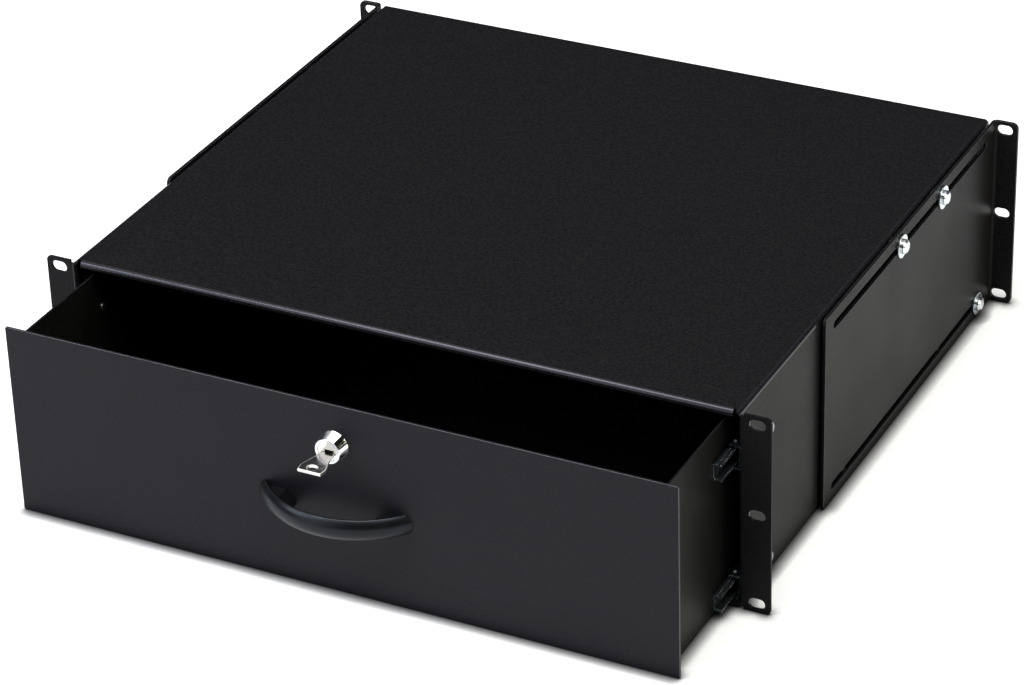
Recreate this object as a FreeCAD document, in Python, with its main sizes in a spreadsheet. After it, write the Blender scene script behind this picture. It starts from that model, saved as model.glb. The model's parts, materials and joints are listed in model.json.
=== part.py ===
"""A 3U rack drawer: a sheet steel case on rear sliding brackets, and a lockable tray on four ball slides.

X runs across the front, Y runs back from the face of the front flanges, and Z runs up.
Heights are worked out from the underside of the flanges. Each piece is then placed so that the origin lies
at the middle of the front rack slots. The drawer is modelled part way out, as it stands at rest.
All sizes are millimetres.
"""

import FreeCAD, Part
import math
import os

import Sketcher

SIZES = {
    # Case, one folded sheet with a welded floor and back
    "case_width": 444.0,
    "case_height": 133.0,
    "case_depth": 400.0,
    "case_sheet": 1.5,
    "bend_inner_radius": 1.5,
    "return_width": 8.0,
    "front_setback": 3.0,
    "corner_width": 6.6,
    "lip_height": 4.0,
    "lip_gap": 1.95,
    "back_flange": 11.0,
    "back_flange_inset": 18.0,
    "back_corner": 3.0,
    # Rack flanges and their slots, the same front and rear
    "flange_span": 482.6,
    "flange_height": 132.5,
    "flange_corner": 3.0,
    "notch_width": 2.2,
    "notch_depth": 2.0,
    "slot_span": 465.1,
    "slot_rise": 60.325,
    "slot_length": 10.5,
    "slot_width": 7.0,
    # Drawer tray and its front panel
    "drawer_open": 80.0,
    "front_gap": 0.3,
    "panel_side_gap": 0.5,
    "panel_floor_gap": 0.4,
    "panel_height": 128.0,
    "panel_sheet": 1.5,
    "panel_corner": 1.0,
    "tray_sheet": 1.2,
    "tray_inner_radius": 0.8,
    "tray_floor_gap": 0.6,
    "tray_drop": 4.5,
    "tray_rear_gap": 15.0,
    "slide_space": 9.5,
    # Ball slides
    "travel": 250.0,
    "upper_slide_rise": 99.0,
    "lower_slide_rise": 10.0,
    "channel_rear_gap": 45.5,
    "channel_setback": 4.5,
    "channel_height": 16.0,
    "channel_depth": 7.5,
    "runner_setback": 65.0,
    "runner_rear_gap": 1.3,
    "runner_height": 10.9,
    "runner_depth": 6.0,
    "slide_sheet": 1.2,
    "slide_inner_radius": 0.2,
    "race_inset": 5.5,
    "ball_radius": 1.1,
    "ball_clearance": 0.1,
    "cage_clearance": 0.4,
    "cage_margin": 1.5,
    "stop_inset": 4.5,
    "stop_radius": 0.9,
    "stop_height": 0.5,
    "cage_sheet": 0.5,
    # Slide screws: the first and last from the members' ends, the middle one from the front
    "channel_screw_front": 38.0,
    "channel_screw_middle": 150.0,
    "channel_screw_rear": 40.0,
    "runner_screw_front": 23.5,
    "runner_screw_middle": 140.0,
    "runner_screw_rear": 28.0,
    "screw_radius": 1.5,
    "screw_clearance": 0.1,
    "screw_head_radius": 3.75,
    "screw_head_height": 1.6,
    "screw_head_dome": 0.7,
    "tray_screw_head_radius": 3.0,
    # Rear brackets
    "bracket_sheet": 2.0,
    "bracket_gap": 2.0,
    "bracket_length": 287.2,
    "bracket_overhang": 3.7,
    "bracket_inner_radius": 2.0,
    "bracket_corner": 4.0,
    "bracket_slot_inset": 10.0,
    "bracket_slot_width": 5.5,
    "bracket_slot_front": 12.2,
    "bracket_slot_rear": 18.1,
    "clamp_screw_inset": 23.0,
    "clamp_screw_pitch": 70.0,
    "clamp_screw_radius": 2.5,
    "clamp_head_radius": 4.8,
    "clamp_head_height": 3.0,
    "clamp_head_dome": 1.35,
    "clamp_washer_radius": 7.6,
    "clamp_washer_sheet": 1.2,
    "clamp_nut_width": 8.0,
    "clamp_nut_height": 4.0,
    "spacer_radius": 6.0,
    "clamp_clearance": 0.1,
    # Cam lock and key
    "lock_offset": 2.2,
    "lock_rise": 101.3,
    "bezel_base_radius": 9.6,
    "bezel_front_radius": 8.0,
    "bezel_height": 8.0,
    "barrel_radius": 8.0,
    "barrel_flat": 7.0,
    "barrel_length": 15.8,
    "plug_radius": 6.5,
    "plug_bevel": 0.35,
    "plug_clearance": 0.06,
    "plug_recess": 0.4,
    "lock_nut_width": 20.0,
    "lock_nut_height": 2.5,
    "cam_length": 25.0,
    "cam_corner": 2.0,
    "cam_screw_room": 0.25,
    "cam_width": 12.0,
    "cam_sheet": 2.0,
    "cam_gap": 0.2,
    "tail_width": 6.0,
    "cam_screw_radius": 1.5,
    "cam_screw_head_radius": 4.5,
    "cam_screw_head_height": 2.0,
    "cam_screw_depth": 3.5,
    "key_sheet": 2.0,
    "key_blade_width": 8.0,
    "key_blade_length": 20.0,
    "key_blade_tip": 1.0,
    "key_drop": 1.7,
    "ward_left": 1.8,
    "ward_right": 4.2,
    "ward_rise": 1.2,
    "key_clearance": 0.25,
    "key_neck_width": 9.7,
    "key_neck_length": 5.5,
    "key_flare_length": 11.0,
    "key_bow_width": 16.6,
    "key_bow_length": 21.85,
    "key_corner": 0.8,
    "key_edge_bevel": 0.3,
    "key_eye_inset": 4.4,
    "key_eye_length": 6.2,
    "key_eye_width": 5.0,
    "keeper_width": 30.0,
    "keeper_drop": 6.5,
    "keeper_foot": 10.0,
    "keeper_gap": 0.5,
    # Bow handle
    "handle_offset": 0.6,
    "handle_rise": 59.1,
    "handle_height": 13.0,
    "handle_half_chord": 46.9,
    "handle_reach": 22.3,
    "handle_rim": 1.0,
    "handle_bulge_radius": 8.6,
    "handle_lower_bulge": 1.6,
    "handle_lower_bevel": 0.6,
    "handle_band": 3.6,
    "handle_slope": 4.5,
    "handle_foot_width": 20.5,
    "handle_foot_drop": 2.6,
    "handle_foot_lift": 0.5,
    "handle_foot_bevel": 6.0,
    "handle_screw_spread": 36.0,
    "handle_screw_radius": 2.0,
    "handle_screw_depth": 6.0,
    "handle_hole_room": 0.25,
    "handle_screw_head_radius": 3.8,
    "handle_screw_head_height": 2.2,
}

BALLS_PER_ROW = 3
# How far a cut runs past the face it opens, and how far two joined pads run into each other
PAST = 1
LAP = 0.01
# How near an edge must lie to a level to count as lying on it
NEAR = 0.001
SIDES = {"left": -1, "right": 1}

doc = FreeCAD.newDocument("RackDrawer")
sheet = doc.addObject("Spreadsheet::Sheet", "Sizes")
pieces = []


class Size:
    """A length that knows both its value and the sheet formula that gives it."""

    def __init__(self, value, text):
        self.value = value
        self.text = text

    def __add__(self, other):
        other = as_size(other)
        return Size(self.value + other.value, f"({self.text} + {other.text})")

    def __sub__(self, other):
        other = as_size(other)
        return Size(self.value - other.value, f"({self.text} - {other.text})")

    def __mul__(self, other):
        other = as_size(other)
        return Size(self.value * other.value, f"({self.text} * {other.text})")

    def __truediv__(self, other):
        other = as_size(other)
        return Size(self.value / other.value, f"({self.text} / {other.text})")

    def __neg__(self):
        return self * -1

    def root(self):
        return Size(math.sqrt(self.value), f"sqrt({self.text})")

    __radd__ = __add__
    __rmul__ = __mul__


def as_size(number):
    if isinstance(number, Size):
        return number
    return Size(float(number), f"({float(number)!r})")


class Sheet:
    """The sheet's cells, each read as a Size under its own name."""

    def __init__(self):
        for row, (name, number) in enumerate(SIZES.items(), start=1):
            sheet.set(f"A{row}", name)
            sheet.set(f"B{row}", str(number))
            sheet.setAlias(f"B{row}", name)
            setattr(self, name, Size(number, "Sizes." + name))
        doc.recompute()


S = Sheet()


class Outline:
    """Gathers the curves and constraints of one sketch, then adds them in one go."""

    def __init__(self, sketch):
        self.sketch = sketch
        self.curves = []
        self.plain = []
        self.sized = []

    def curve(self, shape):
        self.curves.append(shape)
        return len(self.curves) - 1

    def join(self, first, first_end, second, second_end, smooth=False):
        kind = "Tangent" if smooth else "Coincident"
        self.plain.append(Sketcher.Constraint(kind, first, first_end, second, second_end))

    def fix(self, curve, point, x, y):
        """Ties a point of a curve to its two formulas."""
        for kind, size in (("DistanceX", as_size(x)), ("DistanceY", as_size(y))):
            constraint = Sketcher.Constraint(kind, -1, 1, curve, point, size.value)
            self.sized.append((constraint, size))

    def radius(self, curve, size):
        size = as_size(size)
        self.sized.append((Sketcher.Constraint("Radius", curve, size.value), size))

    def finish(self):
        self.sketch.addGeometry(self.curves, False)
        self.sketch.addConstraint(self.plain)
        for constraint, size in self.sized:
            index = self.sketch.addConstraint(constraint)
            name = f"size_{index}"
            self.sketch.renameConstraint(index, name)
            self.sketch.setExpression("Constraints." + name, size.text)


def vector(x, y):
    return FreeCAD.Vector(x, y, 0)


def polygon(*corners):
    """A closed outline through (x, y) corners; a third number rounds a square corner by that radius."""

    def draw(outline):
        count = len(corners)
        spots = [(as_size(c[0]), as_size(c[1])) for c in corners]
        radii = [as_size(c[2]) if len(c) > 2 else None for c in corners]

        def heading(a, b):
            dx = spots[b][0].value - spots[a][0].value
            dy = spots[b][1].value - spots[a][1].value
            length = math.hypot(dx, dy)
            return round(dx / length, 9), round(dy / length, 9)

        starts, ends, centres = [], [], []
        for i, ((x, y), r) in enumerate(zip(spots, radii)):
            if r is None:
                starts.append((x.value, y.value))
                ends.append((x.value, y.value))
                centres.append(None)
                continue
            came = heading(i - 1, i)
            goes = heading(i, (i + 1) % count)
            starts.append((x.value - came[0] * r.value, y.value - came[1] * r.value))
            ends.append((x.value + goes[0] * r.value, y.value + goes[1] * r.value))
            centres.append((x + r * (goes[0] - came[0]), y + r * (goes[1] - came[1])))
        lines = [
            outline.curve(Part.LineSegment(vector(*ends[i]), vector(*starts[(i + 1) % count])))
            for i in range(count)
        ]
        for i, r in enumerate(radii):
            before = lines[i - 1]
            after = lines[i]
            if r is None:
                outline.join(before, 2, after, 1)
                outline.fix(after, 1, *spots[i])
                continue
            cx, cy = centres[i]
            first = math.atan2(starts[i][1] - cy.value, starts[i][0] - cx.value)
            last = math.atan2(ends[i][1] - cy.value, ends[i][0] - cx.value)
            left_turn = math.sin(last - first) > 0
            circle = Part.Circle(vector(cx.value, cy.value), FreeCAD.Vector(0, 0, 1), r.value)
            low, high = (first, last) if left_turn else (last, first)
            arc = outline.curve(Part.ArcOfCircle(circle, low, high))
            outline.join(before, 2, arc, 1 if left_turn else 2, smooth=True)
            outline.join(after, 1, arc, 2 if left_turn else 1, smooth=True)
            outline.fix(arc, 3, cx, cy)
            outline.radius(arc, r)

    return draw


def rectangle(x0, x1, y0, y1, r=None):
    corners = [(x0, y0), (x1, y0), (x1, y1), (x0, y1)]
    if r is not None:
        corners = [(x, y, r) for x, y in corners]
    return polygon(*corners)


def circle(x, y, r):
    def draw(outline):
        centre = vector(as_size(x).value, as_size(y).value)
        ring = outline.curve(Part.Circle(centre, FreeCAD.Vector(0, 0, 1), as_size(r).value))
        outline.fix(ring, 3, x, y)
        outline.radius(ring, r)

    return draw


def slot(x, y, length, width):
    """A round-ended slot along the sketch's first axis, centred on x, y."""

    def draw(outline):
        reach = (as_size(length) - width) / 2
        r = as_size(width) / 2
        arcs = []
        for sign, low in ((1, -math.pi / 2), (-1, math.pi / 2)):
            centre = as_size(x) + reach * sign
            ring = Part.Circle(vector(centre.value, as_size(y).value), FreeCAD.Vector(0, 0, 1), r.value)
            arc = outline.curve(Part.ArcOfCircle(ring, low, low + math.pi))
            outline.fix(arc, 3, centre, y)
            outline.radius(arc, r)
            arcs.append(arc)
        for sign, first, second in ((1, arcs[0], arcs[1]), (-1, arcs[1], arcs[0])):
            level = as_size(y).value + r.value * sign
            near = vector(as_size(x).value + reach.value * sign, level)
            far = vector(as_size(x).value - reach.value * sign, level)
            line = outline.curve(Part.LineSegment(near, far))
            outline.join(first, 2, line, 1, smooth=True)
            outline.join(second, 1, line, 2, smooth=True)

    return draw


class Piece:
    """One body of the drawer, built up feature by feature from sketches on its own origin planes."""

    def __init__(self, label, exported=True):
        self.body = doc.addObject("PartDesign::Body", label)
        self.body.Label = label
        if exported:
            pieces.append(self.body)
            self.place()

    def sketch(self, plane, level, drawings):
        sketch = self.body.newObject("Sketcher::SketchObject", self.body.Label + "_sketch")
        base = next(f for f in self.body.Origin.OriginFeatures if f.Role == plane + "_Plane")
        sketch.AttachmentSupport = [(base, "")]
        sketch.MapMode = "FlatFace"
        sketch.setExpression("AttachmentOffset.Base.z", as_size(level).text)
        outline = Outline(sketch)
        for draw in drawings:
            draw(outline)
        outline.finish()
        return sketch

    def pad(self, plane, start, end, *drawings):
        """Adds the outlines between two levels along the plane's own axis."""
        level = -as_size(end) if plane == "XZ" else start
        pad = self.body.newObject("PartDesign::Pad", self.body.Label + "_pad")
        pad.Profile = self.sketch(plane, level, drawings)
        pad.setExpression("Length", (as_size(end) - start).text)
        self.body.Tip = pad
        return self

    def cut(self, plane, start, end, *drawings):
        """Takes the outlines away between two levels along the plane's own axis."""
        level = -as_size(start) if plane == "XZ" else end
        pocket = self.body.newObject("PartDesign::Pocket", self.body.Label + "_cut")
        pocket.Profile = self.sketch(plane, level, drawings)
        pocket.setExpression("Length", (as_size(end) - start).text)
        self.body.Tip = pocket
        return self

    def turn(self, axis, *drawings, plane="XY"):
        """Turns an outline about its sketch's H or V axis."""
        turned = self.body.newObject("PartDesign::Revolution", self.body.Label + "_turn")
        turned.Profile = self.sketch(plane, 0, drawings)
        turned.ReferenceAxis = (turned.Profile[0], [axis + "_Axis"])
        turned.Angle = 360
        self.body.Tip = turned
        return self

    def soften(self, radius, chosen, bevel=False):
        """Rounds or bevels the edges whose shape passes the test."""
        doc.recompute()
        tip = self.body.Tip
        names = [f"Edge{i}" for i, edge in enumerate(tip.Shape.Edges, start=1) if chosen(edge)]
        kind = "Chamfer" if bevel else "Fillet"
        feature = self.body.newObject("PartDesign::" + kind, self.body.Label + "_" + kind.lower())
        feature.Base = (tip, names)
        feature.setExpression("Size" if bevel else "Radius", as_size(radius).text)
        self.body.Tip = feature
        return self

    def place(self, x=0, y=0, z=0, spin=None):
        put(self.body, x, y, z, spin)
        return self


def put(thing, x, y, z, spin=None):
    """Places an object by three formulas, its height told from the underside, turned half round if asked."""
    rotation = FreeCAD.Rotation(FreeCAD.Vector(*spin), 180) if spin else FreeCAD.Rotation()
    z = as_size(z) - flange_middle
    place = FreeCAD.Vector(as_size(x).value, as_size(y).value, as_size(z).value)
    thing.Placement = FreeCAD.Placement(place, rotation)
    for axis, size in zip("xyz", (x, y, z)):
        thing.setExpression("Placement.Base." + axis, as_size(size).text)


def group(label, places):
    """One node of like pieces: (master, x, y, z, spin) for each, the master made as unexported pieces."""
    links = []
    for number, (master, x, y, z, spin) in enumerate(places, start=1):
        link = doc.addObject("App::Link", f"{label}_{number}")
        link.LinkedObject = master.body
        put(link, x, y, z, spin)
        links.append(link)
    compound = doc.addObject("Part::Compound", label)
    compound.Label = label
    compound.Links = links
    pieces.append(compound)


OVER = (0, 1, 0)

flange_middle = S.flange_height / 2
case_half = S.case_width / 2
case_inner = case_half - S.case_sheet
case_top = S.case_height - S.case_sheet
flange_half = S.flange_span / 2
slot_half = S.slot_span / 2
panel_half = case_inner - S.panel_side_gap
panel_back = -S.drawer_open + S.panel_sheet
tray_half = case_inner - S.slide_space
tray_bottom = S.case_sheet + S.tray_floor_gap
panel_top = S.panel_floor_gap + S.panel_height
tray_top = panel_top - S.tray_drop
tray_wall_back = panel_back + S.tray_sheet
opened = S.drawer_open - S.panel_sheet - S.front_gap
tray_rear = S.case_depth - S.tray_rear_gap - opened
slide_rises = {"upper": S.upper_slide_rise, "lower": S.lower_slide_rise}
runner_front = -S.drawer_open + S.runner_setback
channel_end = S.case_depth - S.channel_rear_gap
runner_end = channel_end - S.runner_rear_gap - opened
channel_screw_spots = [
    S.channel_setback + S.channel_screw_front,
    S.channel_setback + S.channel_screw_middle,
    channel_end - S.channel_screw_rear,
]
runner_screw_spots = [
    runner_front + S.runner_screw_front,
    runner_front + S.runner_screw_middle,
    runner_end - S.runner_screw_rear,
]
screw_hole = S.screw_radius + S.screw_clearance
clamp_hole = S.clamp_screw_radius + S.clamp_clearance
bracket_inner = case_half + S.bracket_gap
bracket_outer = bracket_inner + S.bracket_sheet
bracket_rear = S.case_depth + S.bracket_overhang
bracket_front = bracket_rear - S.bracket_length
clamp_last = S.case_depth - S.clamp_screw_inset
bracket_slots = (S.bracket_slot_inset, S.flange_height - S.bracket_slot_inset)
clamp_spots = [
    (clamp_last - S.clamp_screw_pitch * 2, bracket_slots[1]),
    (clamp_last - S.clamp_screw_pitch, bracket_slots[1]),
    (clamp_last, bracket_slots[0]),
]
rack_slots = [
    (slot_half * side, flange_middle + S.slot_rise * step) for side in (-1, 1) for step in (-1, 0, 1)
]


def case_shell():
    """Top, sides and floor returns in one fold, with flanges and a lip folded at the front."""
    shell = Piece("case_shell")
    inner_r = S.bend_inner_radius
    r = inner_r + S.case_sheet
    return_end = case_half - S.return_width
    section = []
    for side in (-1, 1):
        outer = [
            (return_end * side, 0),
            (case_half * side, 0, r),
            (case_half * side, S.case_height, r),
        ]
        section.append(outer if side < 0 else outer[::-1])
    inside = []
    for side in (1, -1):
        inner = [
            (return_end * side, S.case_sheet),
            (case_inner * side, S.case_sheet, inner_r),
            (case_inner * side, case_top, inner_r),
        ]
        inside.append(inner if side > 0 else inner[::-1])
    shell.pad("XZ", 0, S.case_depth, polygon(*section[0], *section[1], *inside[0], *inside[1]))
    corner_end = case_half - S.corner_width
    lip_end = case_half - r - S.lip_gap
    for side in (-1, 1):
        low, high = sorted((case_inner * side, case_half * side), key=lambda size: size.value)
        shell.cut("XZ", 0, r, rectangle(low - LAP, high + LAP, r, S.case_height - r))
        low, high = sorted(((return_end - PAST) * side, corner_end * side), key=lambda size: size.value)
        shell.cut("XZ", 0, S.front_setback, rectangle(low, high, -PAST, S.case_sheet + PAST))
    gap_end = lip_end + S.lip_gap
    shell.cut("XZ", 0, r, rectangle(-gap_end, gap_end, case_top - LAP, S.case_height + PAST))
    lip = [
        (r + PAST, S.case_height),
        (0, S.case_height, r),
        (0, S.case_height - S.lip_height),
        (S.case_sheet, S.case_height - S.lip_height),
        (S.case_sheet, case_top, inner_r),
        (r + PAST, case_top),
    ]
    shell.pad("YZ", -lip_end, lip_end, polygon(*lip))
    flange_start = case_half + S.notch_width
    for side in (-1, 1):
        bend = [
            (case_inner * side, r + PAST),
            (case_inner * side, 0, r),
            ((flange_start + PAST) * side, 0),
            ((flange_start + PAST) * side, S.case_sheet),
            (case_half * side, S.case_sheet, inner_r),
            (case_half * side, r + PAST),
        ]
        shell.pad("XY", S.notch_depth, S.flange_height - S.notch_depth, polygon(*bend))
        flange = [
            (flange_start * side, 0),
            (flange_half * side, 0, S.flange_corner),
            (flange_half * side, S.flange_height, S.flange_corner),
            (flange_start * side, S.flange_height),
        ]
        shell.pad("XZ", 0, S.case_sheet, polygon(*flange))
    slots = [slot(x, z, S.slot_length, S.slot_width) for x, z in rack_slots]
    shell.cut("XZ", -PAST, S.case_sheet + PAST, *slots)
    holes = [circle(y, z, screw_hole) for y in channel_screw_spots for z in slide_rises.values()]
    holes += [circle(y, z, clamp_hole) for y, z in clamp_spots]
    shell.cut("YZ", -case_half - PAST, case_half + PAST, *holes)


def case_floor_and_back():
    """The welded floor between the returns, and the back pan set inside the rear edge."""
    floor_half = case_half - S.return_width
    floor = Piece("case_bottom")
    floor.pad("XY", 0, S.case_sheet, rectangle(-floor_half, floor_half, S.front_setback, S.case_depth))
    back = Piece("case_back")
    face = S.case_depth - S.case_sheet
    back.pad(
        "XZ", face, S.case_depth, rectangle(-case_inner, case_inner, S.case_sheet, case_top, S.back_corner)
    )
    for side in (-1, 1):
        ends = (case_inner * side, (case_inner - S.case_sheet) * side)
        low, high = sorted(ends, key=lambda size: size.value)
        edge = rectangle(low, high, S.case_sheet + S.back_flange_inset, case_top - S.back_flange_inset)
        back.pad("XZ", face - S.back_flange, face + LAP, edge)


def lock_keeper():
    """A small angle welded under the top, whose tab the cam turns up behind."""
    closed_cam = S.barrel_length + S.cam_gap - S.panel_sheet - S.front_gap
    rear = closed_cam - S.keeper_gap
    keeper = Piece("lock_keeper")
    angle = [
        (rear - S.keeper_foot, case_top),
        (rear - S.keeper_foot, case_top - S.case_sheet),
        (rear - S.case_sheet, case_top - S.case_sheet),
        (rear - S.case_sheet, case_top - S.keeper_drop),
        (rear, case_top - S.keeper_drop),
        (rear, case_top, S.case_sheet),
    ]
    half = S.keeper_width / 2
    keeper.pad("YZ", S.lock_offset - half, S.lock_offset + half, polygon(*angle))


def drawer_tray():
    """The front panel and the open-topped tray welded behind it."""
    lock_hole = lock_cutout(S.lock_offset, S.lock_rise, S.plug_clearance)
    screw_holes = [
        circle(
            S.handle_offset + S.handle_screw_spread * side,
            S.handle_rise,
            S.handle_screw_radius + S.screw_clearance,
        )
        for side in (-1, 1)
    ]
    panel = Piece("drawer_panel")
    panel.pad(
        "XZ",
        -S.drawer_open,
        panel_back,
        rectangle(-panel_half, panel_half, S.panel_floor_gap, panel_top, S.panel_corner),
    )
    panel.cut("XZ", -S.drawer_open - PAST, panel_back + PAST, lock_hole, *screw_holes)
    floor_top = tray_bottom + S.tray_sheet
    inner_r = S.tray_inner_radius
    tray = Piece("drawer_tray")
    fold = [
        (panel_back, tray_top),
        (panel_back, tray_bottom, inner_r + S.tray_sheet),
        (tray_rear, tray_bottom),
        (tray_rear, floor_top),
        (tray_wall_back, floor_top, inner_r),
        (tray_wall_back, tray_top),
    ]
    tray.pad("YZ", -tray_half, tray_half, polygon(*fold))
    tray.cut("XZ", panel_back - PAST, tray_wall_back + PAST, lock_hole, *screw_holes)
    holes = [circle(y, z, screw_hole) for y in runner_screw_spots for z in slide_rises.values()]
    outline = [
        (tray_wall_back, floor_top + inner_r),
        (tray_wall_back + inner_r, floor_top),
        (tray_rear, floor_top),
        (tray_rear, tray_top),
        (tray_wall_back, tray_top),
    ]
    for name, sign in SIDES.items():
        low, high = sorted((tray_half * sign, (tray_half - S.tray_sheet) * sign), key=lambda size: size.value)
        wall = Piece("tray_side_" + name)
        wall.pad("YZ", low, high, polygon(*outline), *holes)
    back = Piece("tray_back")
    inside = tray_half - S.tray_sheet
    back.pad("XZ", tray_rear - S.tray_sheet, tray_rear, rectangle(-inside, inside, floor_top, tray_top))


def lock_cutout(x, z, clearance):
    """The lock barrel's outline: a circle with two flats, as lines and arcs."""

    def draw(outline):
        r = S.barrel_radius + clearance
        flat = S.barrel_flat + clearance
        reach = (r * r - flat * flat).root()
        turn = math.atan2(reach.value, flat.value)
        cx, cz = as_size(x), as_size(z)
        ring = Part.Circle(vector(cx.value, cz.value), FreeCAD.Vector(0, 0, 1), r.value)
        top = outline.curve(Part.ArcOfCircle(ring, turn, math.pi - turn))
        bottom = outline.curve(Part.ArcOfCircle(ring, math.pi + turn, 2 * math.pi - turn))
        sides = []
        for side in (-1, 1):
            edge = cx.value + flat.value * side
            ends = [vector(edge, cz.value + reach.value * end) for end in (1, -1)]
            sides.append(outline.curve(Part.LineSegment(*ends)))
            outline.fix(sides[-1], 1, cx + flat * side, cz + reach)
            outline.fix(sides[-1], 2, cx + flat * side, cz - reach)
        outline.join(top, 2, sides[0], 1)
        outline.join(bottom, 1, sides[0], 2)
        outline.join(bottom, 2, sides[1], 2)
        outline.join(top, 1, sides[1], 1)
        outline.radius(top, r)
        outline.radius(bottom, r)

    return draw


def slides():
    """Four slides: a channel on the case, a runner on the tray, and a ball cage between them."""
    inner_r = S.slide_inner_radius
    r = inner_r + S.slide_sheet
    half = S.channel_height / 2
    runner_half = S.runner_height / 2
    inner_half = half - S.slide_sheet
    race_rise = (inner_half + runner_half) / 2
    race_radius = S.ball_radius + S.ball_clearance
    runner_face = -S.slide_space
    runner_edge = runner_face + S.runner_depth
    cage_front = S.channel_setback + S.cage_margin + (S.travel - opened) / 2
    runner_end_full = runner_end - (S.travel - opened)
    cage_length = runner_end_full - S.channel_setback - S.cage_margin * 2
    races = [circle(-S.race_inset, race_rise * side, race_radius) for side in (-1, 1)]
    for level, rise in slide_rises.items():
        for side, sign in SIDES.items():
            spot = dict(x=case_inner * sign, z=rise, spin=OVER if sign < 0 else None)
            name = f"{level}_{side}"
            channel = Piece("slide_channel_" + name)
            section = [
                (0, -half, r),
                (0, half, r),
                (-S.channel_depth, half),
                (-S.channel_depth, inner_half),
                (-S.slide_sheet, inner_half, inner_r),
                (-S.slide_sheet, -inner_half, inner_r),
                (-S.channel_depth, -inner_half),
                (-S.channel_depth, -half),
            ]
            channel.pad("XZ", S.channel_setback, channel_end, polygon(*section))
            channel.cut("XZ", S.channel_setback - PAST, channel_end + PAST, *races)
            screw_holes = [circle(y, 0, screw_hole) for y in channel_screw_spots]
            channel.cut("YZ", -S.slide_sheet - PAST, PAST, *screw_holes)
            stop = circle(-S.race_inset, S.channel_setback + S.stop_inset, S.stop_radius)
            for low, high in ((half - LAP, half + S.stop_height), (-half - S.stop_height, -half + LAP)):
                channel.pad("XY", low, high, stop)
            channel.place(**spot)
            runner = Piece("slide_runner_" + name)
            section = [
                (runner_face, -runner_half, r),
                (runner_edge, -runner_half),
                (runner_edge, -runner_half + S.slide_sheet),
                (runner_face + S.slide_sheet, -runner_half + S.slide_sheet, inner_r),
                (runner_face + S.slide_sheet, runner_half - S.slide_sheet, inner_r),
                (runner_edge, runner_half - S.slide_sheet),
                (runner_edge, runner_half),
                (runner_face, runner_half, r),
            ]
            runner.pad("XZ", runner_front, runner_end, polygon(*section))
            runner.cut("XZ", runner_front - PAST, runner_end + PAST, *races)
            screw_holes = [circle(y, 0, screw_hole) for y in runner_screw_spots]
            runner.cut("YZ", runner_face - PAST, runner_face + S.slide_sheet + PAST, *screw_holes)
            runner.place(**spot)
            cage(name, spot, cage_front, cage_length, race_rise, race_radius)


def cage(name, spot, front, length, race_rise, race_radius):
    """A thin channel between the two members, with a row of balls in each of its arms."""
    strip = Piece("ball_cage_" + name)
    outer = -S.slide_sheet - S.cage_clearance
    web = outer - S.cage_sheet
    tip = -S.race_inset - race_radius - S.cage_sheet
    over = race_rise + S.cage_sheet / 2
    under = race_rise - S.cage_sheet / 2
    section = [(tip, over), (outer, over), (outer, -over), (tip, -over), (tip, -under)]
    section += [(web, -under), (web, under), (tip, under)]
    strip.pad("XZ", front, front + length, polygon(*section))
    pitch = length / BALLS_PER_ROW
    spots = [front + pitch * (number + 0.5) for number in range(BALLS_PER_ROW)]
    holes = [circle(-S.race_inset, y, S.ball_radius + S.ball_clearance) for y in spots]
    strip.cut("XY", -over - PAST, over + PAST, *holes)
    strip.place(**spot)
    balls = []
    for side in (-1, 1):
        for y in spots:
            ball = doc.addObject("Part::Sphere", f"ball_{name}_{len(balls)}")
            ball.setExpression("Radius", S.ball_radius.text)
            sign = -1 if spot["spin"] else 1
            put(ball, spot["x"] - S.race_inset * sign, y, spot["z"] + race_rise * side)
            balls.append(ball)
    row = doc.addObject("Part::Compound", "balls_" + name)
    row.Label = "balls_" + name
    row.Links = balls
    pieces.append(row)


def screw(label, radius, length, head_radius, head_height, dome):
    """A plain pan-headed screw along X, its seat at the origin and its shank towards -X."""
    made = Piece(label, exported=False)
    profile = [
        (-length, 0),
        (head_height, 0),
        (head_height, head_radius - dome),
        (head_height - dome, head_radius),
        (0, head_radius),
        (0, radius),
        (-length, radius),
    ]
    return made.turn("H", polygon(*profile))


def slide_screws():
    """Case screws from outside into the channels, and tray screws from inside into the runners."""
    head = dict(head_height=S.screw_head_height, dome=S.screw_head_dome)
    shank = S.case_sheet + S.slide_sheet - S.screw_clearance
    outer = screw("case_screw_master", S.screw_radius, shank, S.screw_head_radius, **head)
    shank = S.tray_sheet + S.slide_sheet - S.screw_clearance
    inner = screw("tray_screw_master", S.screw_radius, shank, S.tray_screw_head_radius, **head)
    for side, sign in SIDES.items():
        spin = OVER if sign < 0 else None
        spots = [(y, z) for z in slide_rises.values() for y in channel_screw_spots]
        group(f"case_slide_screws_{side}", [(outer, case_half * sign, y, z, spin) for y, z in spots])
        spin = OVER if sign > 0 else None
        spots = [(y, z) for z in slide_rises.values() for y in runner_screw_spots]
        seat = (tray_half - S.tray_sheet) * sign
        group(f"tray_slide_screws_{side}", [(inner, seat, y, z, spin) for y, z in spots])


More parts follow.
